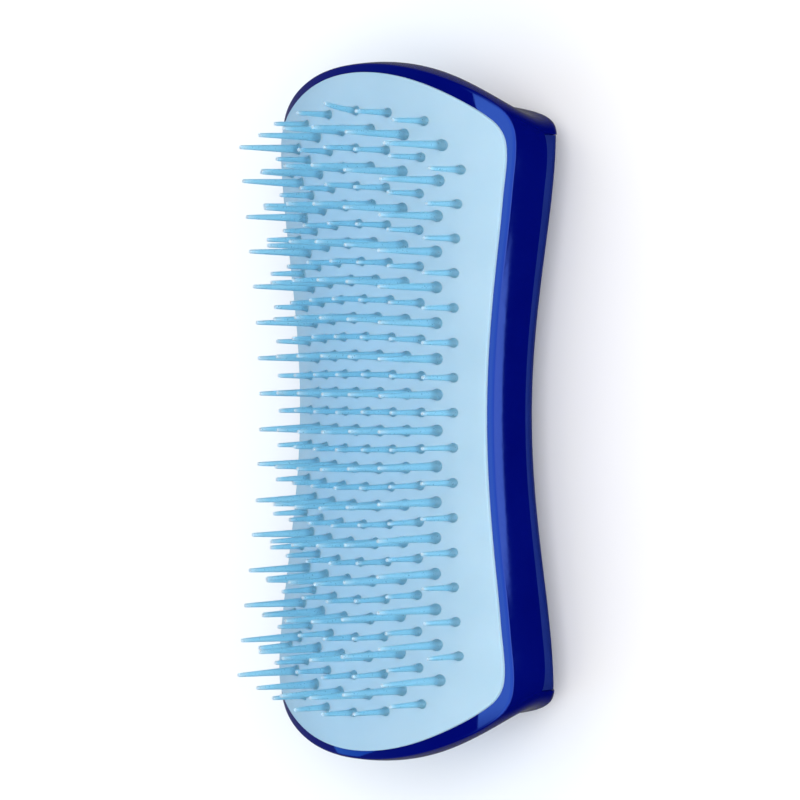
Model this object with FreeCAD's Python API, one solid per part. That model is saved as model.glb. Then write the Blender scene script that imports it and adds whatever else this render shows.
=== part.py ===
import FreeCAD, Part
import math
import os
from FreeCAD import Vector

# Palm-held grooming brush with an elastomer tooth pad. All sizes are in millimetres.
# +X runs along the brush, +Y across it, and +Z the way the teeth point.
# The origin is on the surface the brush lies on, below its middle, with the teeth upwards.

# ---- Face of the pad: crowned across, saddled along ----
face_height = 32.6          # middle of the face above the surface the brush lies on
face_rise = 4.1             # how much higher the face stands at its shoulders than at its waist
crown_radius = 51.5         # crown across the face
shoulder_x = 58.0           # where the brush is widest and its face highest

# ---- Outline of the pad ----
pad_half_length = 70.4
pad_half_waist = 26.0
pad_half_shoulder = 31.4
pad_end_radius = 46.0
corner_radius = 8.0

# ---- Pad and what holds it ----
flange_thickness = 0.8      # edge of the pad, which lies on the shell's rim
flange_round = 0.3
plug_thickness = 2.2        # thicker middle of the pad, inside the shell's mouth
plug_side_inset = 2.3
plug_end_inset = 2.0
carrier_thickness = 1.6
rib_depth = 4.5
rib_width = 1.4
rib_places = (-52.0, -26.0, 0.0, 26.0, 52.0)
post_radius = 2.5
post_places = ((-39.0, -9.0), (-39.0, 9.0), (0.0, -9.0), (0.0, 9.0), (39.0, -9.0), (39.0, 9.0))
skirt_width = 1.4
skirt_depth = 7.0
barb_length = 6.0
barb_height = 2.2
barb_reach = 0.9
barb_places = (-40.0, 0.0, 40.0)
fit_gap = 0.15              # clearance between pieces that slide into each other

# ---- Palm shell ----
shell_half_waist = 26.2
shell_half_shoulder = 31.8
# Outline at each height: (height, half length, swelling beyond the widths above, radius of the end)
shell_levels = (
    (40.0, 71.2, 0.7, 51.0),
    (34.0, 72.3, 0.8, 51.0),
    (29.0, 72.8, 0.8, 51.0),
    (24.0, 72.2, 0.8, 52.0),
    (18.5, 69.6, 1.0, 60.0),
    (13.0, 66.6, 1.1, 76.0),
    (8.0, 65.1, 1.0, 94.0),
    (2.0, 64.9, 0.8, 112.0),
    (-3.0, 64.9, 0.7, 125.0),
)
shell_wall = 3.0
shell_floor = 3.6
back_hollow = 1.2           # how far the back's middle is clear of the surface it lies on
back_drop = 11.0            # how much the back curves up towards its sides
back_margin = 1.0           # beyond the shell's side widths, where the back has risen by that much
back_round = 3.0
rim_round = 0.8

# ---- Grip panel let into the shell's back ----
panel_half_length = 57.5
panel_top = 14.0
panel_thickness = 1.4

# ---- Teeth ----
row_pitch = 7.8             # between two rows of long teeth
long_rows = 16
long_columns = 6
short_rows = 15
short_columns = 7
end_columns = 5
column_pitch = 6.68         # at the waist
column_spread = 0.206       # how much wider the columns stand at the outermost long row
row_bow = (4.32, -0.81)     # how far the ends of the outer rows bow towards the waist
bow_reference = 20.0
long_length = 17.9
long_root_radius = 0.95
short_length = 9.8
short_root_radius = 0.72
tip_radius = 0.42
root_flare = 0.3            # how much wider a root collar is at the face than the tooth on it
collar_margin = 0.35        # how far a collar's flat top is clear of the face around it
collar_sink = 1.6           # how far a collar is drawn below the face before it is trimmed
collar_seat = 0.005         # thickness of the bond between a collar and the face

surface_tolerance = 0.1
outer_row_x = row_pitch * (long_rows - 1) / 2


def swell(x):
    """0 at the waist, 1 at the shoulders, with a level crest there."""
    ratio = (x / shoulder_x) ** 2
    return ratio * (2 - ratio)


def face_z(x, y):
    crown = crown_radius - math.sqrt(crown_radius ** 2 - y ** 2)
    return face_height + face_rise * swell(x) - crown


def face_slopes(x, y):
    slope_x = 4 * face_rise * x / shoulder_x ** 2 * (1 - (x / shoulder_x) ** 2)
    slope_y = -y / math.sqrt(crown_radius ** 2 - y ** 2)
    return slope_x, slope_y


def back_z(x, y):
    swelling = swell(min(abs(x), shoulder_x))
    half_width = shell_half_waist + (shell_half_shoulder - shell_half_waist) * swelling + back_margin
    return back_hollow * (1 - swelling) + back_drop * (y / half_width) ** 4


def quarter_outline(half_length, half_waist, half_shoulder, end_radius, corner):
    """Points from the waist round the corner to the middle of the end."""
    corner_y = half_shoulder - corner
    end_centre = half_length - end_radius
    corner_x = end_centre + math.sqrt((end_radius - corner) ** 2 - corner_y ** 2)
    turn = math.atan2(corner_x - end_centre, corner_y)
    points = []
    for step in range(7):
        x = corner_x * step / 7
        y = half_waist + (half_shoulder - half_waist) * swell(x) / swell(corner_x)
        points.append((x, y))
    for step in range(4):
        angle = turn * step / 4
        points.append((corner_x + corner * math.sin(angle), corner_y + corner * math.cos(angle)))
    for step in range(5):
        angle = turn + (math.pi / 2 - turn) * step / 4
        points.append((end_centre + end_radius * math.sin(angle), end_radius * math.cos(angle)))
    return points


def closed_outline(height, half_length, half_waist, half_shoulder, end_radius, corner=corner_radius):
    """A level hourglass outline with rounded ends, as one smooth closed wire."""
    quarter = quarter_outline(half_length, half_waist, half_shoulder, end_radius, corner)
    loop = [(x, y) for x, y in quarter]
    loop += [(x, -y) for x, y in reversed(quarter[:-1])]
    loop += [(-x, -y) for x, y in quarter[1:]]
    loop += [(-x, y) for x, y in reversed(quarter[1:-1])]
    curve = Part.BSplineCurve()
    curve.interpolate(Points=[Vector(x, y, height) for x, y in loop], PeriodicFlag=True)
    return Part.Wire(curve.toShape())


def outline_prism(half_length, half_waist, half_shoulder, end_radius, corner, bottom, top):
    wire = closed_outline(bottom, half_length, half_waist, half_shoulder, end_radius, corner)
    return Part.Face(wire).extrude(Vector(0, 0, top - bottom))


def surface_slab(height_at, top_shift, bottom_shift):
    """The space between two copies of a surface, one above the other."""
    columns = []
    for i in range(-20, 21):
        x = 4.0 * i
        columns.append([Vector(x, 2.5 * j, height_at(x, 2.5 * j) + bottom_shift) for j in range(-15, 16)])
    surface = Part.BSplineSurface()
    surface.interpolate(columns)
    return surface.toShape().extrude(Vector(0, 0, top_shift - bottom_shift))


def body_blank(inset):
    """The shell's outer walls, all moved inwards by the same distance, with flat ends above and below."""
    wires = []
    for height, half_length, swelling, end_radius in shell_levels:
        wires.append(closed_outline(
            height,
            half_length - inset,
            shell_half_waist + swelling - inset,
            shell_half_shoulder + swelling - inset,
            end_radius - inset,
            corner_radius - inset / 2,
        ))
    return Part.makeLoft(wires, True, False)


def edges_on(shape, height_at, shift):
    """Edges that lie all along a surface."""
    found = []
    for edge in shape.Edges:
        if all(abs(p.z - height_at(p.x, p.y) - shift) < surface_tolerance for p in edge.discretize(12)):
            found.append(edge)
    return found


def outer_body(inset):
    """The whole body as if it were solid, below the pad's flange and above the back."""
    body = body_blank(inset).common(surface_slab(back_z, 90.0, inset))
    back_edges = edges_on(body, back_z, inset)
    return body.makeFillet(back_round - inset / 2, back_edges)


def palm_shell(panel_recess):
    body = outer_body(0.0)
    body = body.cut(surface_slab(face_z, 30.0, -flange_thickness))
    rim_edges = edges_on(body, face_z, -flange_thickness)
    body = body.makeFillet(rim_round, rim_edges)
    cavity = body_blank(shell_wall).common(surface_slab(back_z, 90.0, shell_floor))
    body = body.cut(cavity)
    body = body.cut(panel_recess)
    for pocket in barb_blocks(fit_gap):
        body = body.cut(pocket)
    return body


def panel_space(top, half_length, thickness):
    """The outermost layer of the body's back, between two planes across it and below a level."""
    zone = Part.makeBox(2 * half_length, 90, top + 10, Vector(-half_length, -45, -10))
    return outer_body(0.0).common(zone).cut(outer_body(thickness))


def tooth_pad():
    flange = outline_prism(
        pad_half_length, pad_half_waist, pad_half_shoulder, pad_end_radius, corner_radius, 5.0, 60.0
    ).common(surface_slab(face_z, 0.0, -flange_thickness))
    flange = flange.makeFillet(flange_round, edges_on(flange, face_z, 0.0))
    plug = plug_prism(0.0).common(surface_slab(face_z, -flange_thickness, -flange_thickness - plug_thickness))
    return flange.fuse(plug).removeSplitter()


def plug_prism(inset):
    return outline_prism(
        pad_half_length - plug_end_inset - inset,
        pad_half_waist - plug_side_inset - inset,
        pad_half_shoulder - plug_side_inset - inset,
        pad_end_radius - plug_side_inset - inset,
        corner_radius - plug_side_inset / 2 - inset / 2,
        5.0,
        60.0,
    )


def barb_blocks(growth):
    """Wedges that stand out from the carrier's skirt and catch in pockets of the shell's wall."""
    blocks = []
    for x in barb_places:
        side_y = pad_half_waist + (pad_half_shoulder - pad_half_waist) * swell(x) - plug_side_inset
        low = face_z(x, side_y) - flange_thickness - plug_thickness - skirt_depth
        for side in (-1, 1):
            inner = side * (side_y - skirt_width / 2)
            outer = side * (side_y + barb_reach + growth)
            corners = (
                Vector(x - barb_length / 2 - growth, inner, low - growth),
                Vector(x - barb_length / 2 - growth, inner, low + barb_height + growth),
                Vector(x - barb_length / 2 - growth, outer, low + barb_height + growth),
            )
            face = Part.Face(Part.makePolygon(list(corners) + [corners[0]]))
            blocks.append(face.extrude(Vector(barb_length + 2 * growth, 0, 0)))
    return blocks


def pad_carrier():
    top = -flange_thickness - plug_thickness
    plate = plug_prism(0.0).common(surface_slab(face_z, top, top - carrier_thickness))
    lattice = Part.makeBox(160, rib_width, 60, Vector(-80, -rib_width / 2, 0))
    for x in rib_places:
        lattice = lattice.fuse(Part.makeBox(rib_width, 90, 60, Vector(x - rib_width / 2, -45, 0)))
    ribs = plug_prism(0.0).common(surface_slab(face_z, top - carrier_thickness, top - carrier_thickness - rib_depth))
    ribs = ribs.common(lattice)
    skirt = plug_prism(0.0).cut(plug_prism(skirt_width))
    skirt = skirt.common(surface_slab(face_z, top - carrier_thickness, top - skirt_depth))
    posts = Part.makeCompound([
        Part.makeCylinder(post_radius, 60, Vector(x, y, 0)) for x, y in post_places
    ])
    posts = posts.common(surface_slab(back_z, 60.0, shell_floor + fit_gap))
    posts = posts.cut(surface_slab(face_z, 60.0, top - carrier_thickness))
    carrier = plate.multiFuse([ribs, skirt, posts] + barb_blocks(0.0))
    return carrier.removeSplitter()


def shaft_radius(height, length, root_radius):
    """Radius of a tooth's tapered shaft at a height above the face."""
    return root_radius + (tip_radius - root_radius) * height / (length - tip_radius)


def tooth(foot, length, root_radius):
    """One tooth at the origin: a tapered shaft with a round tip and a flat foot a little above the face."""
    foot_radius = shaft_radius(foot, length, root_radius)
    profile = [
        Part.LineSegment(Vector(0, 0, foot), Vector(foot_radius, 0, foot)).toShape(),
        Part.LineSegment(Vector(foot_radius, 0, foot), Vector(tip_radius, 0, length - tip_radius)).toShape(),
        Part.Arc(
            Vector(tip_radius, 0, length - tip_radius),
            Vector(tip_radius * math.sqrt(0.5), 0, length - tip_radius * (1 - math.sqrt(0.5))),
            Vector(0, 0, length),
        ).toShape(),
        Part.LineSegment(Vector(0, 0, length), Vector(0, 0, foot)).toShape(),
    ]
    return Part.Face(Part.Wire(profile)).revolve(Vector(0, 0, 0), Vector(0, 0, 1), 360)


def collar(x, y, foot, length, root_radius):
    """The flared root that one tooth stands on, cut off flush with the face."""
    foot_radius = shaft_radius(foot, length, root_radius)
    flare = (root_radius + root_flare - foot_radius) / foot
    cone = Part.makeCone(foot_radius + flare * (foot + collar_sink), foot_radius, foot + collar_sink)
    cone.translate(Vector(0, 0, -collar_sink))
    slope_x, slope_y = face_slopes(x, y)
    tilt = FreeCAD.Rotation(Vector(0, 0, 1), Vector(-slope_x, -slope_y, 1))
    below = Part.makeBox(20, 20, 12, Vector(-10, -10, collar_seat - 12))
    below.Placement = FreeCAD.Placement(Vector(0, 0, 0), tilt) * below.Placement
    return cone.cut(below)


def tooth_places(row_x, columns):
    """Where one row's teeth stand: spread towards the shoulders, ends bowed towards the waist."""
    share = row_x / outer_row_x
    bow = share * (row_bow[0] + row_bow[1] * share ** 2)
    pitch = column_pitch * (1 + column_spread * share ** 2)
    places = []
    for column in range(columns):
        y = (column - (columns - 1) / 2) * pitch
        places.append((row_x - bow * (y / bow_reference) ** 2, y))
    return places


def tooth_row(row_x, columns, length, root_radius):
    """The teeth of a row and the root collars that they stand on."""
    teeth = []
    collars = []
    for x, y in tooth_places(row_x, columns):
        slope_x, slope_y = face_slopes(x, y)
        foot = math.hypot(slope_x, slope_y) * (root_radius + root_flare) + collar_margin
        place = Vector(x, y, face_z(x, y))
        single = tooth(foot, length, root_radius)
        single.translate(place)
        teeth.append(single)
        root = collar(x, y, foot, length, root_radius)
        root.translate(place)
        collars.append(root.Solids[0])
    return teeth, collars


def save(shape, name):
    volume = sum(solid.Volume for solid in shape.Solids)
    print(name, len(shape.Solids), "solids", round(volume, 1), "mm3", "valid" if shape.isValid() else "INVALID")
    shape.exportStep("parts/" + name + ".step")


os.makedirs("parts", exist_ok=True)
recess = panel_space(panel_top + fit_gap, panel_half_length + fit_gap, panel_thickness)
save(palm_shell(recess), "palm_shell")
save(panel_space(panel_top, panel_half_length, panel_thickness), "grip_panel")
save(pad_carrier(), "pad_carrier")
save(tooth_pad(), "tooth_pad")

all_collars = []
for row in range(long_rows):
    row_x = outer_row_x - row_pitch * row
    teeth, collars = tooth_row(row_x, long_columns, long_length, long_root_radius)
    save(Part.makeCompound(teeth), "long_teeth_row_%02d" % (row + 1))
    all_collars += collars
for row in range(short_rows + 2):
    row_x = outer_row_x + row_pitch / 2 - row_pitch * row
    columns = end_columns if row in (0, short_rows + 1) else short_columns
    teeth, collars = tooth_row(row_x, columns, short_length, short_root_radius)
    save(Part.makeCompound(teeth), "short_teeth_row_%02d" % (row + 1))
    all_collars += collars
save(Part.makeCompound(all_collars), "tooth_roots")
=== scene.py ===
import math
import random

import bmesh
import bpy
import numpy as np
from mathutils import Matrix, Vector
from mathutils.bvhtree import BVHTree


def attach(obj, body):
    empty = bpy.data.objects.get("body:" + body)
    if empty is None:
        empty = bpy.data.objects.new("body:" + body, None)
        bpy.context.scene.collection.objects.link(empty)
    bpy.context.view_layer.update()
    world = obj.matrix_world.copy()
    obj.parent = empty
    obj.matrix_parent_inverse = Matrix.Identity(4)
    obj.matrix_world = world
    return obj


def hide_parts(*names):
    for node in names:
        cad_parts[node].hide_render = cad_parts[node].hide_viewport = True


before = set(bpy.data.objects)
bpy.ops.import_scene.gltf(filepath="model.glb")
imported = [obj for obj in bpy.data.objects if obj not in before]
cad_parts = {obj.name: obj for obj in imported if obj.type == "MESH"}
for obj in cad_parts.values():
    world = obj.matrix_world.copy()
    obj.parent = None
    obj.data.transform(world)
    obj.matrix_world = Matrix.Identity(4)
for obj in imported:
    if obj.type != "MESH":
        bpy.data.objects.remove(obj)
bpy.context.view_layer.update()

# Looks of a palm-held grooming brush. Shapes are worked out in millimetres and scaled to metres.
MM = 0.001
scene = bpy.context.scene

# ---- The CAD part's own dimensions ----
face_height = 32.6
face_rise = 4.1
crown_radius = 51.5
shoulder_x = 58.0
pad_half_length = 70.4
pad_half_waist = 26.0
pad_half_shoulder = 31.4
pad_end_radius = 46.0
corner_radius = 8.0
flange_thickness = 0.8
flange_round = 0.3
plug_thickness = 2.2
plug_side_inset = 2.3
plug_end_inset = 2.0
shell_half_waist = 26.2
shell_half_shoulder = 31.8
shell_levels = (
    (-3.0, 64.9, 0.7, 125.0),
    (2.0, 64.9, 0.8, 112.0),
    (8.0, 65.1, 1.0, 94.0),
    (13.0, 66.6, 1.1, 76.0),
    (18.5, 69.6, 1.0, 60.0),
    (24.0, 72.2, 0.8, 52.0),
    (29.0, 72.8, 0.8, 51.0),
    (34.0, 72.3, 0.8, 51.0),
    (40.0, 71.2, 0.7, 51.0),
)
shell_wall = 3.0
shell_floor = 3.6
back_hollow = 1.2
back_drop = 11.0
back_margin = 1.0
back_round = 3.0
rim_round = 0.8
panel_half_length = 57.5
panel_top = 14.0
panel_thickness = 1.4
fit_gap = 0.15
row_pitch = 7.8
long_rows = 16
long_columns = 6
short_rows = 15
short_columns = 7
end_columns = 5
column_pitch = 6.68
column_spread = 0.206
row_bow = (4.32, -0.81)
bow_reference = 20.0
long_length = 17.9
long_root_radius = 0.95
short_length = 9.8
short_root_radius = 0.72
tip_radius = 0.42
outer_row_x = row_pitch * (long_rows - 1) / 2

# ---- Dimensions of the looks only ----
stations = 400              # columns of the mesh round an outline
spine_half = 40.0           # the rings of a level outline close up onto a line this long
wall_rings = 42             # rings down the shell's outer wall
face_rings = 30             # rings across a face that is seen
hidden_rings = 8            # rings across or down one that isn't
edge_rings = 5              # rings round a small edge
back_edge_rings = 8
guess_height = 10.0         # where the search for the walls' meeting with a surface starts
meeting_rounds = 12
weld = 2e-6                 # metres; closer points are one
sliver = 1e-7               # metres; shorter edges are dissolved
edge_lean = 0.86            # how far a slanted face runs sideways for a step along it, near its edge
tooth_sides = 18
tooth_lean = 0.12           # how far a tip may stand off its place, in either direction
bent_column = 2             # the one tooth that is bent, in the first short row
bent_lean = (1.2, 0.0)
lean_bend = 1.6             # more than 1 bends a leaning tooth more towards its tip
root_flare = 0.3            # how much a tooth widens where it meets the pad
root_flare_height = 1.3
root_flare_heights = (0.0, 0.12, 0.3, 0.55, 0.85, root_flare_height)
root_flare_curve = 2.4
root_depth = 0.5            # how far a root goes on below the pad's face
root_draft = 0.05           # and how much it widens there
tip_flat = 0.02             # radius of the last ring of a tooth
tip_highlight_reach = 0.7              # how far down from its tip a tooth is painted near-white: a painted highlight
pip_height = 0.22
pip_radius = 0.62
pip_pitch = 4.4
pip_sides = 12
pip_profile = ((1.0, -0.35), (1.0, 0.0), (0.93, 0.45), (0.72, 0.78), (0.4, 0.95))  # in radii and heights
pip_end_margin = 3.0        # between the panel's ends and the first pips
pip_top_margin = 1.6        # between the panel's top edge and the highest pips
pip_arc = (-2, 182)         # degrees below +Y that the rays of a cross-section span
pip_rays = 240
pip_ray_drop = 0.5          # how far below the panel's top edge the rays start
pip_arc_margin = 0.4
noise_low, noise_high = 0.3, 0.7    # the range that nearly all of a noise lies in

# ---- Dimensions of the studio ----
floor_half = 4.0            # metres
room_strength = 0.8
mirrored_strength = 0.18    # of the room in reflections, towards +Y
mirrored_rise = 0.8         # how far towards +Y it reaches that strength
card_level = -0.001         # metres; just under the floor, which reflections don't show
card_reach = 0.45           # metres from a card's near edge to its far edge
card_height = 0.5           # metres
card_spread = 0.9           # how much the cards spread along the brush as they go out
band_reach = (23.5, 2.5)    # from the shell's side to the low card: at the waist, and more at the shoulders
card_step = 4               # along the brush
card_turn = 75.0            # degrees that the cards go on round the brush's corners, fading out
card_turn_steps = 10
card_turn_radius = 8.0
fade_curve = 1.5
low_card_colour = (1.87, 2.45, 3.6)
high_card_colour = (3.0, 3.4, 4.0)
key_card_colour = (4.0, 4.0, 4.0)
key_card_reach = (0.38, 1.1)    # metres from the middle of the key's card to where it fades, and to its end
key_card_columns = 22
key_place = (0.1, -1.0, 1.1)
key_size = (1.05, 1.05)
key_watts = 15.0
fill_place = (-0.3, 1.2, 1.0)
fill_size = (1.0, 0.8)
fill_watts = 6.0
fill_colour = (0.12, 0.55, 1.0)
lights_aim = (0, 0, 0.02)

# ---- Camera ----
camera_pitch = 0.0165
camera_turn = math.radians(-42.0)
camera_roll = -0.0038
camera_distance = 1033.183  # from the middle of the pad's face
camera_offset = (6.6706, 2.404)     # sideways, along the picture
view_width = 166.37         # what the picture spans at that distance
sensor_width = 36.0


# ---- Surfaces ----
def swell(x):
    ratio = (x / shoulder_x) ** 2
    return ratio * (2 - ratio)


def face_z(x, y):
    return face_height + face_rise * swell(x) - (crown_radius - np.sqrt(crown_radius ** 2 - y ** 2))


def shell_side(x):
    """Half the shell's width, before the swelling of its levels."""
    return shell_half_waist + (shell_half_shoulder - shell_half_waist) * swell(x)


def back_z(x, y):
    near = np.minimum(np.abs(x), shoulder_x)
    half_width = shell_side(near) + back_margin
    return back_hollow * (1 - swell(near)) + back_drop * (y / half_width) ** 4


def bends(knots, values, period=None):
    """Second derivatives, at the knots, of the cubic curve through the values. A period closes it."""
    count = len(knots)
    ends = np.append(knots, knots[0] + period) if period else np.asarray(knots, float)
    gaps = np.diff(ends)
    matrix = np.zeros((count, count))
    right = np.zeros(values.shape)
    rows = range(count) if period else range(1, count - 1)
    for i in rows:
        before, after = gaps[i - 1], gaps[i % len(gaps)]
        matrix[i, i - 1] += before
        matrix[i, i] += 2 * (before + after)
        matrix[i, (i + 1) % count] += after
        slope_after = (values[(i + 1) % count] - values[i]) / after
        slope_before = (values[i] - values[i - 1]) / before
        right[i] = 6 * (slope_after - slope_before)
    if not period:
        matrix[0, 0] = matrix[-1, -1] = 1
    return np.linalg.solve(matrix, right.reshape(count, -1)).reshape(values.shape)


def along_curve(low_values, high_values, low_bend, high_bend, share, gap):
    """Points of a cubic curve between two knots, at a share of the gap between them."""
    b = share
    a = 1 - b
    sag = (a ** 3 - a) * low_bend + (b ** 3 - b) * high_bend
    return a * low_values + b * high_values + sag * gap ** 2 / 6


def quarter_outline(half_length, half_waist, half_shoulder, end_radius, corner):
    corner_y = half_shoulder - corner
    end_centre = half_length - end_radius
    corner_x = end_centre + math.sqrt((end_radius - corner) ** 2 - corner_y ** 2)
    turn = math.atan2(corner_x - end_centre, corner_y)
    points = []
    for step in range(7):
        x = corner_x * step / 7
        points.append((x, half_waist + (half_shoulder - half_waist) * swell(x) / swell(corner_x)))
    for step in range(4):
        angle = turn * step / 4
        points.append((corner_x + corner * math.sin(angle), corner_y + corner * math.cos(angle)))
    for step in range(5):
        angle = turn + (math.pi / 2 - turn) * step / 4
        points.append((end_centre + end_radius * math.sin(angle), end_radius * math.cos(angle)))
    return points


def outline(half_length, half_waist, half_shoulder, end_radius, corner=corner_radius):
    """An hourglass outline at the stations, from the middle of one side and round by the +X end."""
    quarter = quarter_outline(half_length, half_waist, half_shoulder, end_radius, corner)
    loop = [(x, y) for x, y in quarter]
    loop += [(x, -y) for x, y in reversed(quarter[:-1])]
    loop += [(-x, -y) for x, y in quarter[1:]]
    loop += [(-x, y) for x, y in reversed(quarter[1:-1])]
    loop = np.array(loop)
    steps = np.linalg.norm(np.roll(loop, -1, 0) - loop, axis=1)
    knots = np.concatenate([[0], np.cumsum(steps)[:-1]])
    period = steps.sum()
    second = bends(knots, loop, period)
    at = np.arange(stations) / stations * period
    low = np.searchsorted(knots, at, side="right") - 1
    high = (low + 1) % len(knots)
    gap = steps[low][:, None]
    share = (at - knots[low])[:, None] / gap
    return along_curve(loop[low], loop[high], second[low], second[high], share, gap)


class Walls:
    """The shell's outer walls moved inwards by an inset: where each station is at any height."""

    def __init__(self, inset):
        self.heights = np.array([level[0] for level in shell_levels])
        self.loops = np.array([
            outline(
                half_length - inset,
                shell_half_waist + swelling - inset,
                shell_half_shoulder + swelling - inset,
                end_radius - inset,
                corner_radius - inset / 2,
            )
            for _, half_length, swelling, end_radius in shell_levels
        ])
        self.second = bends(self.heights, self.loops)

    def at(self, z):
        z = np.broadcast_to(z, (stations,))
        low = np.clip(np.searchsorted(self.heights, z, side="right") - 1, 0, len(self.heights) - 2)
        column = np.arange(stations)
        gap = (self.heights[low + 1] - self.heights[low])[:, None]
        share = (z - self.heights[low])[:, None] / gap
        flat = along_curve(
            self.loops[low, column],
            self.loops[low + 1, column],
            self.second[low, column],
            self.second[low + 1, column],
            share,
            gap,
        )
        return np.column_stack([flat, z])

    def meet(self, height_at, shift):
        """Where the walls cross a surface."""
        ring = self.at(guess_height)
        for _ in range(meeting_rounds):
            ring = self.at(height_at(ring[:, 0], ring[:, 1]) + shift)
        return ring


def inward(ring):
    along = np.roll(ring, -1, 0)[:, :2] - np.roll(ring, 1, 0)[:, :2]
    along /= np.linalg.norm(along, axis=1)[:, None]
    return np.column_stack([along[:, 1], -along[:, 0]])


def moved_in(ring, distance, height_at, shift):
    flat = ring[:, :2] + inward(ring) * np.reshape(distance, (-1, 1))
    return np.column_stack([flat, height_at(flat[:, 0], flat[:, 1]) + shift])


def unit(vectors):
    return vectors / np.linalg.norm(vectors, axis=1)[:, None]


def rounded(start_side, corner, end_side, radius, steps):
    """Rings round a corner. The sides are functions that give a ring at a distance from the corner."""
    probe = 0.2             # where the sides' directions are measured
    to_start = unit(start_side(np.full(stations, probe)) - corner)
    to_end = unit(end_side(np.full(stations, probe)) - corner)
    turn = math.pi - np.arccos(np.clip((to_start * to_end).sum(1), -1, 1))
    reach = radius * np.tan(turn / 2)
    handle = (4 / 3 * np.tan(turn / 4) / np.tan(turn / 2))[:, None]
    start, end = start_side(reach), end_side(reach)
    first = start + (corner - start) * handle
    last = end + (corner - end) * handle
    rings = []
    for t in np.linspace(0, 1, steps + 1):
        s = 1 - t
        rings.append(s ** 3 * start + 3 * s * s * t * first + 3 * s * t * t * last + t ** 3 * end)
    return rings


def closing(ring, height_at, shift, count):
    """Rings that close a level opening, following a surface, down to a line along its middle."""
    target = np.column_stack([np.clip(ring[:, 0], -spine_half, spine_half), np.zeros(stations)])
    rings = []
    for t in np.linspace(0, 1, count + 1)[1:]:
        flat = ring[:, :2] * (1 - t) + target * t
        rings.append(np.column_stack([flat, height_at(flat[:, 0], flat[:, 1]) + shift]))
    return rings


def skin(rings):
    """Points and faces of the tube through the rings."""
    points = np.concatenate(rings)
    faces = []
    for first in range(0, stations * (len(rings) - 1), stations):
        for i in range(stations):
            k = (i + 1) % stations
            faces.append((first + i, first + k, first + stations + k, first + stations + i))
    return points, faces


def scaled_mesh(points, faces, first_outer=0):
    """A closed mesh in metres. Faces whose points all come from first_outer on are tagged as outer ones."""
    bm = bmesh.new()
    tag = bm.faces.layers.int.new("outer")
    made = [bm.verts.new(Vector(p) * MM) for p in points]
    for face in faces:
        bm.faces.new([made[i] for i in face])[tag] = int(min(face) >= first_outer)
    bmesh.ops.remove_doubles(bm, verts=bm.verts, dist=weld)
    bmesh.ops.dissolve_degenerate(bm, edges=bm.edges, dist=sliver)
    bmesh.ops.recalc_face_normals(bm, faces=bm.faces)
    return bm


def join_rings(bm, rings):
    """Faces between rings of vertices, and one that closes the first ring."""
    for lower, upper in zip(rings, rings[1:]):
        for i in range(len(lower)):
            j = (i + 1) % len(lower)
            bm.faces.new((lower[i], lower[j], upper[j], upper[i]))
    bm.faces.new(list(reversed(rings[0])))


def piece(bm, name, nodes, material, sharp=35.0):
    mesh = bpy.data.meshes.new(name)
    bm.to_mesh(mesh)
    bm.free()
    for polygon in mesh.polygons:
        polygon.use_smooth = True
    mesh.set_sharp_from_angle(angle=math.radians(sharp))
    obj = bpy.data.objects.new(name, mesh)
    scene.collection.objects.link(obj)
    mesh.materials.append(material)
    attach(obj, "root")
    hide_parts(*nodes)
    return obj


# ---- Materials ----
class Nodes:
    def __init__(self, name):
        self.material = bpy.data.materials.new(name)
        self.material.use_nodes = True
        self.tree = self.material.node_tree
        self.shader = self.tree.nodes["Principled BSDF"]
        self.place = self.add("ShaderNodeTexCoord").outputs["Object"]

    def add(self, kind, **settings):
        node = self.tree.nodes.new(kind)
        for key, value in settings.items():
            setattr(node, key, value)
        return node

    def link(self, source, target):
        self.tree.links.new(source, target)

    def noise(self, scale, detail=3.0, rough=0.5):
        node = self.add("ShaderNodeTexNoise")
        node.inputs["Scale"].default_value = scale
        node.inputs["Detail"].default_value = detail
        node.inputs["Roughness"].default_value = rough
        self.link(self.place, node.inputs["Vector"])
        return node.outputs["Fac"]

    def mottled(self, source, first, last):
        """A colour between two colours, by a noise."""
        node = self.add("ShaderNodeValToRGB")
        node.color_ramp.elements[0].position = noise_low
        node.color_ramp.elements[1].position = noise_high
        node.color_ramp.elements[0].color = (*first, 1)
        node.color_ramp.elements[1].color = (*last, 1)
        self.link(source, node.inputs["Fac"])
        return node.outputs["Color"]

    def tinted(self, source, attribute, tint):
        """The source colour, replaced by a tint where a vertex attribute is 1."""
        amount = self.add("ShaderNodeAttribute", attribute_name=attribute)
        mix = self.add("ShaderNodeMix", data_type="RGBA")
        mix.inputs["B"].default_value = (*tint, 1)
        self.link(amount.outputs["Fac"], mix.inputs["Factor"])
        self.link(source, mix.inputs["A"])
        return mix.outputs["Result"]

    def spread(self, source, low, high):
        """A number between two numbers, by a noise."""
        node = self.add("ShaderNodeMapRange")
        node.inputs["From Min"].default_value = noise_low
        node.inputs["From Max"].default_value = noise_high
        node.inputs["To Min"].default_value = low
        node.inputs["To Max"].default_value = high
        self.link(source, node.inputs["Value"])
        return node.outputs["Result"]

    def bump(self, source, strength, distance, after=None):
        node = self.add("ShaderNodeBump")
        node.inputs["Strength"].default_value = strength
        node.inputs["Distance"].default_value = distance
        self.link(source, node.inputs["Height"])
        if after is not None:
            self.link(after, node.inputs["Normal"])
        return node.outputs["Normal"]

    def values(self, **sockets):
        for name, value in sockets.items():
            self.shader.inputs[name.replace("_", " ")].default_value = value


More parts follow.
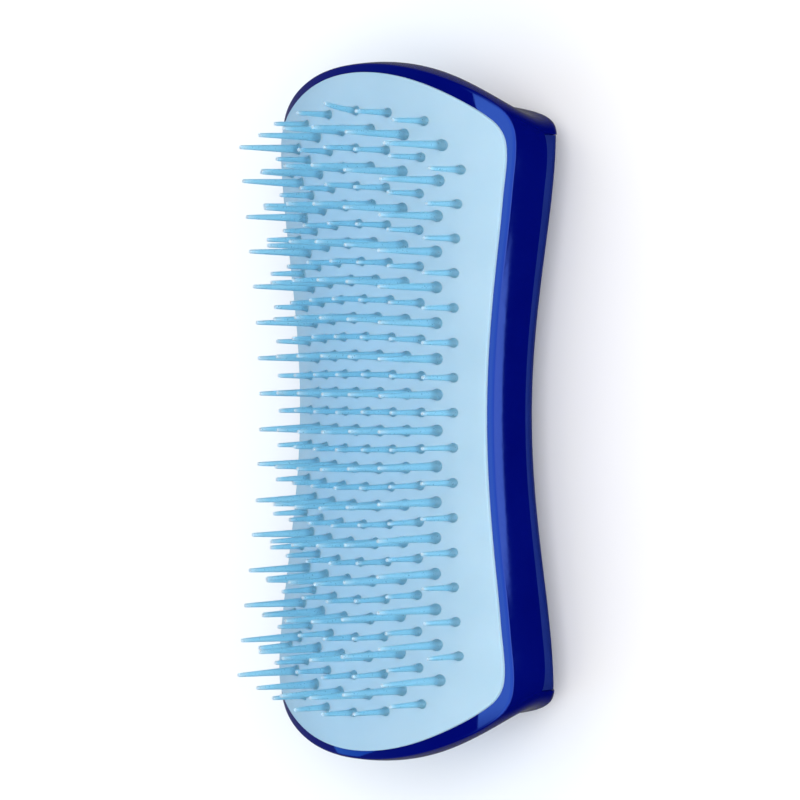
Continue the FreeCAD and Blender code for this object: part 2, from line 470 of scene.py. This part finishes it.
def gloss_plastic():
    n = Nodes("gloss_blue_plastic")
    n.values(IOR=1.5, Specular_IOR_Level=1.0, Specular_Tint=(0.10, 0.28, 1.0, 1.0))
    colour = n.mottled(n.noise(60, 4), (0.0003, 0.0018, 0.112), (0.0005, 0.0026, 0.126))
    n.link(colour, n.shader.inputs["Base Color"])
    n.link(n.spread(n.noise(900, 4, 0.6), 0.03, 0.06), n.shader.inputs["Roughness"])
    n.link(n.bump(n.noise(350, 2), 0.015, 0.0002), n.shader.inputs["Normal"])
    return n.material


def satin_plastic():
    n = Nodes("satin_blue_plastic")
    n.values(IOR=1.5, Specular_IOR_Level=0.5, Specular_Tint=(0.35, 0.6, 1.0, 1.0))
    between_pips = n.mottled(n.noise(80, 4), (0.0012, 0.0070, 0.105), (0.0022, 0.0100, 0.130))
    # The pips' tops are tinted pale: a painted highlight for their glints.
    n.link(n.tinted(between_pips, "painted_pip_highlight", (0.30, 0.36, 0.55)), n.shader.inputs["Base Color"])
    n.link(n.spread(n.noise(1500, 4, 0.6), 0.36, 0.50), n.shader.inputs["Roughness"])
    n.link(n.bump(n.noise(5000, 2), 0.25, 0.00004), n.shader.inputs["Normal"])
    return n.material


def inner_plastic():
    n = Nodes("inner_blue_plastic")
    colour = n.mottled(n.noise(90, 4), (0.004, 0.012, 0.14), (0.006, 0.018, 0.18))
    n.link(colour, n.shader.inputs["Base Color"])
    n.link(n.spread(n.noise(1200, 3), 0.45, 0.60), n.shader.inputs["Roughness"])
    n.link(n.bump(n.noise(4000, 2), 0.2, 0.00004), n.shader.inputs["Normal"])
    return n.material


def pad_rubber():
    n = Nodes("pale_blue_elastomer")
    n.values(IOR=1.45, Specular_IOR_Level=0.35, Subsurface_Weight=0.35, Subsurface_Scale=0.0015)
    n.shader.inputs["Subsurface Radius"].default_value = (0.35, 0.7, 1.0)
    colour = n.mottled(n.noise(70, 4), (0.325, 0.485, 0.60), (0.355, 0.515, 0.63))
    n.link(colour, n.shader.inputs["Base Color"])
    n.link(n.spread(n.noise(2500, 4, 0.6), 0.40, 0.52), n.shader.inputs["Roughness"])
    n.link(n.bump(n.noise(6000, 2), 0.2, 0.00003), n.shader.inputs["Normal"])
    return n.material


def tooth_rubber():
    n = Nodes("clear_blue_elastomer")
    n.values(IOR=1.36, Specular_IOR_Level=0.5, Transmission_Weight=0.7)
    tint = n.mottled(n.noise(120, 4), (0.29, 0.62, 0.78), (0.33, 0.66, 0.81))
    # The tips are tinted near-white: a painted highlight, not the elastomer's own colour.
    n.link(n.tinted(tint, "painted_tip_highlight", (0.95, 0.98, 1.0)), n.shader.inputs["Base Color"])
    n.link(n.spread(n.noise(2500, 4, 0.6), 0.26, 0.36), n.shader.inputs["Roughness"])
    n.link(n.bump(n.noise(5000, 2), 0.15, 0.00003), n.shader.inputs["Normal"])
    return n.material


shell_material = gloss_plastic()
panel_material = satin_plastic()
pad_material = pad_rubber()
tooth_material = tooth_rubber()
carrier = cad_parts["pad_carrier"]      # no Blender piece replaces it
carrier.data.materials.clear()
carrier.data.materials.append(inner_plastic())


# ---- Palm shell ----
def outer_rings(walls):
    """From the rim, over its rounded edge, down the wall, round the back's edge and in over the back."""
    rim_shift = -flange_thickness
    rim = walls.meet(face_z, rim_shift)
    rings = rounded(
        lambda d: moved_in(rim, d * edge_lean, face_z, rim_shift),
        rim,
        lambda d: walls.at(rim[:, 2] - d),
        rim_round,
        edge_rings - 1,
    )
    foot = walls.meet(back_z, 0.0)
    back = rounded(
        lambda d: walls.at(foot[:, 2] + d),
        foot,
        lambda d: moved_in(foot, d * edge_lean, back_z, 0.0),
        back_round,
        back_edge_rings,
    )
    top, bottom = rings[-1][:, 2], back[0][:, 2]
    for t in np.linspace(0, 1, wall_rings)[1:-1]:
        rings.append(walls.at(top * (1 - t) + bottom * t))
    return rings + back + closing(back[-1], back_z, 0.0, face_rings)


def inner_rings():
    """From the shell's mouth down its inside and in over its floor."""
    walls = Walls(shell_wall)
    mouth = walls.meet(face_z, -flange_thickness)[:, 2]
    floor = walls.meet(back_z, shell_floor)[:, 2]
    rings = [walls.at(mouth * (1 - t) + floor * t) for t in np.linspace(0, 1, hidden_rings + 1)]
    return rings + closing(rings[-1], back_z, shell_floor, hidden_rings + 4)


def cut_skin(bm, half_length, top):
    """Cuts the outer skin along the edge of the panel and returns the faces inside it."""
    tag = bm.faces.layers.int["outer"]
    planes = (((half_length, 0, 0), (1, 0, 0)), ((-half_length, 0, 0), (1, 0, 0)), ((0, 0, top), (0, 0, 1)))
    for place, normal in planes:
        faces = [f for f in bm.faces if f[tag]]
        edges = list({e for f in faces for e in f.edges})
        verts = list({v for f in faces for v in f.verts})
        bmesh.ops.bisect_plane(
            bm, geom=verts + edges + faces, dist=weld, plane_co=Vector(place) * MM, plane_no=normal
        )
    bm.normal_update()
    inside = []
    for face in bm.faces:
        middle = face.calc_center_median() / MM
        if face[tag] and abs(middle.x) < half_length and middle.z < top:
            inside.append(face)
    return inside


def edges_round(faces):
    """The edges that only one of the faces has."""
    inside = set(faces)
    return [e for f in faces for e in f.edges if sum(g in inside for g in e.link_faces) == 1]


def sink(bm, faces, depth):
    """Moves part of a skin down into the body and walls its edge."""
    sunk = {}
    for face in faces:
        for vert in face.verts:
            if vert not in sunk:
                sunk[vert] = bm.verts.new(vert.co - vert.normal * depth * MM)
    for edge in edges_round(faces):
        a, b = edge.verts
        bm.faces.new((a, b, sunk[b], sunk[a]))
    for face in faces:
        bm.faces.new([sunk[v] for v in face.verts])
    bmesh.ops.delete(bm, geom=faces, context="FACES_ONLY")
    loose = [v for v in bm.verts if not v.link_faces]
    bmesh.ops.delete(bm, geom=loose, context="VERTS")
    wires = [e for e in bm.edges if not e.link_faces]
    bmesh.ops.delete(bm, geom=wires, context="EDGES")
    bmesh.ops.recalc_face_normals(bm, faces=bm.faces)


def build_shell_and_panel():
    inner = inner_rings()
    points, faces = skin(inner[::-1] + outer_rings(Walls(0.0)))
    shell = scaled_mesh(points, faces, len(inner) * stations)
    skin_tree = BVHTree.FromBMesh(shell)
    panel = cut_panel(shell.copy())
    recess = cut_skin(shell, panel_half_length + fit_gap, panel_top + fit_gap)
    sink(shell, recess, panel_thickness + fit_gap)
    add_pips(panel, skin_tree, panel.verts.layers.float.new("painted_pip_highlight"))
    piece(shell, "moulded_palm_shell", ["palm_shell"], shell_material)
    piece(panel, "dotted_grip_panel", ["grip_panel"], panel_material)


def cut_panel(bm):
    """The panel as a closed slab, its face set in by the height of its pips."""
    faces = cut_skin(bm, panel_half_length, panel_top)
    slab = bmesh.new()
    upper, lower = {}, {}
    for face in faces:
        for vert in face.verts:
            if vert not in upper:
                upper[vert] = slab.verts.new(vert.co - vert.normal * pip_height * MM)
                lower[vert] = slab.verts.new(vert.co - vert.normal * panel_thickness * MM)
    for face in faces:
        slab.faces.new([upper[v] for v in face.verts])
        slab.faces.new([lower[v] for v in reversed(face.verts)])
    for edge in edges_round(faces):
        a, b = edge.verts
        slab.faces.new((upper[a], upper[b], lower[b], lower[a]))
    bm.free()
    bmesh.ops.recalc_face_normals(slab, faces=slab.faces)
    return slab


def panel_arc(tree, x):
    """Places and normals along a cross-section of the shell, from one side to the other.

    Known fault: the rays start in the shell's hollow and stop at its inner surface, so the pips
    stand there, out of sight, and not on the panel's face.
    """
    start = Vector((x, 0, panel_top - pip_ray_drop)) * MM
    first, last = pip_arc
    arc = []
    for step in range(pip_rays + 1):
        angle = math.radians(first + (last - first) * step / pip_rays)
        place, normal, _, _ = tree.ray_cast(start, Vector((0, math.cos(angle), -math.sin(angle))))
        if place is not None and place.z < (panel_top - pip_top_margin) * MM:
            arc.append((place, normal))
    return arc


def add_pips(bm, tree, painted_pip_highlight):
    """Small raised dots in staggered rows, on the surface that panel_arc finds. Their tops are painted
    lighter, a painted highlight.
    """
    count = int(2 * (panel_half_length - pip_end_margin) / pip_pitch)
    for column in range(count + 1):
        arc = panel_arc(tree, (column - count / 2) * pip_pitch)
        lengths = [0.0]
        for (a, _), (b, _) in zip(arc, arc[1:]):
            lengths.append(lengths[-1] + (a - b).length / MM)
        rows = int(lengths[-1] / pip_pitch - 0.5)
        margin = (lengths[-1] - rows * pip_pitch) / 2
        for row in range(rows + 1):
            want = margin + (row + column % 2 / 2) * pip_pitch
            if want <= lengths[-1] - pip_arc_margin:
                index = min(range(len(lengths)), key=lambda k: abs(lengths[k] - want))
                add_pip(bm, painted_pip_highlight, *arc[index])


def add_pip(bm, painted_pip_highlight, place, normal):
    """One dot with its peak at the place, its top painted lighter as a painted highlight."""
    turn = normal.to_track_quat("Z", "X")
    rings = []
    for radius, height in pip_profile:
        ring = []
        for i in range(pip_sides):
            angle = 2 * math.pi * i / pip_sides
            spot = Vector((
                radius * pip_radius * math.cos(angle),
                radius * pip_radius * math.sin(angle),
                (height - 1.0) * pip_height,
            ))
            vert = bm.verts.new(place + turn @ spot * MM)
            # A painted highlight: the upper half of each pip gets the pale tint.
            vert[painted_pip_highlight] = min(1.0, max(0.0, 2 * height))
            ring.append(vert)
        rings.append(ring)
    peak = bm.verts.new(place)
    peak[painted_pip_highlight] = 1.0
    join_rings(bm, rings)
    for i in range(pip_sides):
        bm.faces.new((rings[-1][i], rings[-1][(i + 1) % pip_sides], peak))


build_shell_and_panel()


# ---- Tooth pad ----
def build_pad():
    edge = outline(pad_half_length, pad_half_waist, pad_half_shoulder, pad_end_radius)
    edge = np.column_stack([edge, face_z(edge[:, 0], edge[:, 1])])
    plug = outline(
        pad_half_length - plug_end_inset,
        pad_half_waist - plug_side_inset,
        pad_half_shoulder - plug_side_inset,
        pad_end_radius - plug_side_inset,
        corner_radius - plug_side_inset / 2,
    )
    plug = np.column_stack([plug, face_z(plug[:, 0], plug[:, 1])])
    down = np.array([0, 0, 1.0])
    under = plug - down * flange_thickness
    bottom = plug - down * (flange_thickness + plug_thickness)
    curve = rounded(
        lambda d: moved_in(edge, d * edge_lean, face_z, 0.0),
        edge,
        lambda d: edge - down * np.reshape(d, (-1, 1)),
        flange_round,
        edge_rings,
    )
    rings = closing(curve[0], face_z, 0.0, face_rings)[::-1] + curve
    rings += [edge - down * flange_thickness, under, bottom]
    rings += closing(bottom, face_z, -flange_thickness - plug_thickness, hidden_rings)
    piece(scaled_mesh(*skin(rings)), "elastomer_pad", ["tooth_pad"], pad_material)


build_pad()


# ---- Teeth ----
def tooth_places(row_x, columns):
    """Where one row's teeth stand: spread towards the shoulders, ends bowed towards the waist."""
    share = row_x / outer_row_x
    bow = share * (row_bow[0] + row_bow[1] * share ** 2)
    pitch = column_pitch * (1 + column_spread * share ** 2)
    for column in range(columns):
        y = (column - (columns - 1) / 2) * pitch
        yield row_x - bow * (y / bow_reference) ** 2, y


def add_tooth(bm, painted_tip_highlight, at_root, x, y, length, root_radius, lean):
    """A tapered tooth with a round tip, or the flared root below it that follows the pad's face."""
    shaft = length - tip_radius
    if at_root:
        heights = root_flare_heights
        profile = [(root_radius + root_flare + root_draft, -root_depth)]
    else:
        heights = [root_flare_height + (shaft - root_flare_height) * k / 6 for k in range(7)]
        profile = []
    taper = (tip_radius - root_radius) / shaft
    for z in heights:
        flare = root_flare * max(0.0, 1 - z / root_flare_height) ** root_flare_curve
        profile.append((root_radius + taper * z + flare, z))
    if not at_root:
        for step in range(1, 5):
            angle = math.pi / 2 * step / 5
            profile.append((tip_radius * math.cos(angle), shaft + tip_radius * math.sin(angle)))
        profile.append((tip_flat, length))
    foot = face_z(x, y)
    rings = []
    for radius, z in profile:
        follow = max(0.0, 1 - max(z, 0) / root_flare_height)
        share = (max(z, 0) / length) ** lean_bend
        ring = []
        for i in range(tooth_sides):
            angle = 2 * math.pi * i / tooth_sides
            px, py = x + radius * math.cos(angle), y + radius * math.sin(angle)
            rise = (face_z(px, py) - foot) * follow
            vert = bm.verts.new(Vector((px + lean[0] * share, py + lean[1] * share, foot + z + rise)) * MM)
            # A painted highlight: the last part of each tooth towards its tip is tinted near-white.
            vert[painted_tip_highlight] = max(0.0, 1 - (length - z) / tip_highlight_reach)
            ring.append(vert)
        rings.append(ring)
    join_rings(bm, rings)
    bm.faces.new(rings[-1])


class Teeth:
    """A mesh that teeth or roots are added to."""

    def __init__(self):
        self.bm = bmesh.new()
        self.painted_tip_highlight = self.bm.verts.layers.float.new("painted_tip_highlight")

    def add(self, *args):
        add_tooth(self.bm, self.painted_tip_highlight, *args)


def build_row(name, row_x, columns, length, root_radius, chance, roots, bent=None):
    row = Teeth()
    for column, (x, y) in enumerate(tooth_places(row_x, columns)):
        lean = (chance.uniform(-tooth_lean, tooth_lean), chance.uniform(-tooth_lean, tooth_lean))
        if column == bent:
            lean = bent_lean
        row.add(False, x, y, length, root_radius, lean)
        roots.add(True, x, y, length, root_radius, lean)
    made = piece(row.bm, name + "_soft", [name], tooth_material, 60.0)
    made.visible_shadow = False


chance = random.Random(7)
roots = Teeth()
for row in range(long_rows):
    build_row(
        "long_teeth_row_%02d" % (row + 1), outer_row_x - row_pitch * row,
        long_columns, long_length, long_root_radius, chance, roots,
    )
for row in range(short_rows + 2):
    at_end = row in (0, short_rows + 1)
    build_row(
        "short_teeth_row_%02d" % (row + 1), outer_row_x + row_pitch / 2 - row_pitch * row,
        end_columns if at_end else short_columns, short_length, short_root_radius, chance,
        roots, bent_column if row == 0 else None,
    )
piece(roots.bm, "flared_roots", ["tooth_roots"], tooth_material, 60.0)


# ---- Floor, light and camera ----
def floor_material():
    n = Nodes("pale_floor")
    colour = n.mottled(n.noise(4, 2), (0.90, 0.90, 0.90), (0.92, 0.92, 0.92))
    n.link(colour, n.shader.inputs["Base Color"])
    n.link(n.spread(n.noise(400, 3), 0.7, 0.8), n.shader.inputs["Roughness"])
    return n.material


def build_floor():
    corners = ((-1, -1), (1, -1), (1, 1), (-1, 1))
    mesh = bpy.data.meshes.new("floor")
    mesh.from_pydata([(x * floor_half, y * floor_half, 0) for x, y in corners], [], [(0, 1, 2, 3)])
    mesh.materials.append(floor_material())
    floor = bpy.data.objects.new("floor", mesh)
    scene.collection.objects.link(floor)
    floor.visible_glossy = False


def light_room():
    """Even white light from all round. In reflections it is dark towards -Y and grey towards +Y."""
    world = bpy.data.worlds.new("studio")
    scene.world = world
    world.use_nodes = True
    tree = world.node_tree
    room = tree.nodes["Background"]
    room.inputs["Color"].default_value = (1, 1, 1, 1)
    room.inputs["Strength"].default_value = room_strength
    mirrored = tree.nodes.new("ShaderNodeBackground")
    mirrored.inputs["Color"].default_value = (1, 1, 1, 1)
    direction = tree.nodes.new("ShaderNodeTexCoord")
    parts = tree.nodes.new("ShaderNodeSeparateXYZ")
    fade = tree.nodes.new("ShaderNodeMapRange")
    fade.inputs["From Min"].default_value = 0.0
    fade.inputs["From Max"].default_value = mirrored_rise
    fade.inputs["To Max"].default_value = mirrored_strength
    tree.links.new(direction.outputs["Generated"], parts.inputs["Vector"])
    tree.links.new(parts.outputs["Y"], fade.inputs["Value"])
    tree.links.new(fade.outputs["Result"], mirrored.inputs["Strength"])
    path = tree.nodes.new("ShaderNodeLightPath")
    either = tree.nodes.new("ShaderNodeMixShader")
    tree.links.new(path.outputs["Is Glossy Ray"], either.inputs["Fac"])
    tree.links.new(room.outputs["Background"], either.inputs[1])
    tree.links.new(mirrored.outputs["Background"], either.inputs[2])
    tree.links.new(either.outputs["Shader"], tree.nodes["World Output"].inputs["Surface"])


def softbox(name, place, size, watts, colour=(1, 1, 1)):
    light = bpy.data.lights.new(name, "AREA")
    light.shape = "RECTANGLE"
    light.size, light.size_y = size
    light.energy = watts
    light.color = colour
    obj = bpy.data.objects.new(name, light)
    scene.collection.objects.link(obj)
    obj.location = place
    obj.rotation_euler = (Vector(lights_aim) - Vector(place)).to_track_quat("-Z", "Y").to_euler()
    obj.visible_camera = False
    return obj


def glow_material(name, colour):
    """Light of one colour, as strong as the mesh's glow attribute says."""
    material = bpy.data.materials.new(name)
    material.use_nodes = True
    tree = material.node_tree
    tree.nodes.clear()
    glow = tree.nodes.new("ShaderNodeAttribute")
    glow.attribute_name = "glow"
    emission = tree.nodes.new("ShaderNodeEmission")
    emission.inputs["Color"].default_value = (*(part / max(colour) for part in colour), 1)
    tree.links.new(glow.outputs["Fac"], emission.inputs["Strength"])
    output = tree.nodes.new("ShaderNodeOutputMaterial")
    tree.links.new(emission.outputs["Emission"], output.inputs["Surface"])
    material.cycles.emission_sampling = "NONE"
    return material


def glow_card(name, rows, shares, colour):
    """A bright card that shows only in reflections. Its shares say how bright each column is."""
    mesh = bpy.data.meshes.new(name)
    count = len(shares)
    faces = [(i, i + 1, count + i + 1, count + i) for i in range(count - 1)]
    mesh.from_pydata(rows[0] + rows[1], [], faces)
    glow = mesh.attributes.new("glow", "FLOAT", "POINT")
    glow.data.foreach_set("value", [share * max(colour) for share in shares] * 2)
    mesh.materials.append(glow_material(name, colour))
    obj = bpy.data.objects.new(name, mesh)
    scene.collection.objects.link(obj)
    obj.visible_camera = obj.visible_diffuse = obj.visible_transmission = obj.visible_shadow = False


def card_columns():
    """Where the cards begin beside the brush, the way they run from there, and how bright they are."""
    columns = []
    for x in range(0, int(shoulder_x), card_step):
        y = -(shell_side(x) + band_reach[0] + band_reach[1] * swell(x))
        columns.append((x, y, card_spread * x / shoulder_x, -1.0, 1.0))
    reach = band_reach[0] + band_reach[1] + card_turn_radius
    turn_y = card_turn_radius - shell_half_shoulder
    for step in range(card_turn_steps + 1):
        left = 1 - step / card_turn_steps
        angle = math.radians(card_turn * (1 - left))
        away_x, away_y = math.sin(angle), -math.cos(angle)
        near = (shoulder_x + reach * away_x, turn_y + reach * away_y)
        columns.append((*near, away_x + card_spread * left, away_y, left ** fade_curve))
    mirrored = [(-x, y, -run_x, run_y, share) for x, y, run_x, run_y, share in columns[:0:-1]]
    return mirrored + columns


def add_side_cards():
    """Two cards that the glossy side mirrors: one low beside the brush, and one that stands beyond it."""
    columns = card_columns()
    shares = [column[4] for column in columns]
    near_edge = []
    far_edge = []
    for x, y, run_x, run_y, _ in columns:
        near_edge.append((x * MM, y * MM, card_level))
        far_edge.append((x * MM + card_reach * run_x, y * MM + card_reach * run_y, card_level))
    top_edge = [(x, y, card_height) for x, y, _ in far_edge]
    glow_card("low_side_card", (near_edge, far_edge), shares, low_card_colour)
    glow_card("high_side_card", (far_edge, top_edge), shares, high_card_colour)


def add_key():
    """The main light. In reflections a card stands for it, which fades out towards its ends."""
    key = softbox("key", key_place, key_size, key_watts)
    key.visible_glossy = False
    start, end = key_card_reach
    across = [end * (2 * k / key_card_columns - 1) for k in range(key_card_columns + 1)]
    shares = [min(1.0, (end - abs(u)) / (end - start)) ** fade_curve for u in across]
    rows = []
    for side in (-0.5, 0.5):
        rows.append([tuple(key.matrix_basis @ Vector((u, side * key_size[1], 0))) for u in across])
    glow_card("key_card", rows, shares, key_card_colour)


build_floor()
light_room()
add_side_cards()
add_key()
softbox("fill", fill_place, fill_size, fill_watts, fill_colour)

# The camera stands over the -Y side, about 48 degrees up, rolled so that +X is up in the picture.
cp, sp = math.cos(camera_pitch), math.sin(camera_pitch)
ct, st = math.cos(camera_turn), math.sin(camera_turn)
cr, sr = math.cos(camera_roll), math.sin(camera_roll)
view_turn = (
    np.array([[cr, -sr, 0], [sr, cr, 0], [0, 0, 1]])
    @ np.array([[1, 0, 0], [0, cp, -sp], [0, sp, cp]])
    @ np.array([[ct, 0, st], [0, 1, 0], [-st, 0, ct]])
)
to_frame = np.array([[0, 1, 0], [-1, 0, 0], [0, 0, 1]])     # (across, along, up) of the view to X, Y, Z
eye = to_frame @ (view_turn.T @ np.array([*camera_offset, camera_distance]))
eye[2] += face_height
camera = bpy.data.objects.new("camera", bpy.data.cameras.new("camera"))
scene.collection.objects.link(camera)
axes = to_frame @ view_turn.T
camera.matrix_world = Matrix.Translation(Vector(eye) * MM) @ Matrix(axes.tolist()).to_4x4()
camera.data.sensor_width = sensor_width
camera.data.lens = sensor_width * camera_distance / view_width
camera.data.clip_start, camera.data.clip_end = 0.05, 20.0
scene.camera = camera
scene.view_settings.view_transform = "Standard"

bpy.context.view_layer.update()
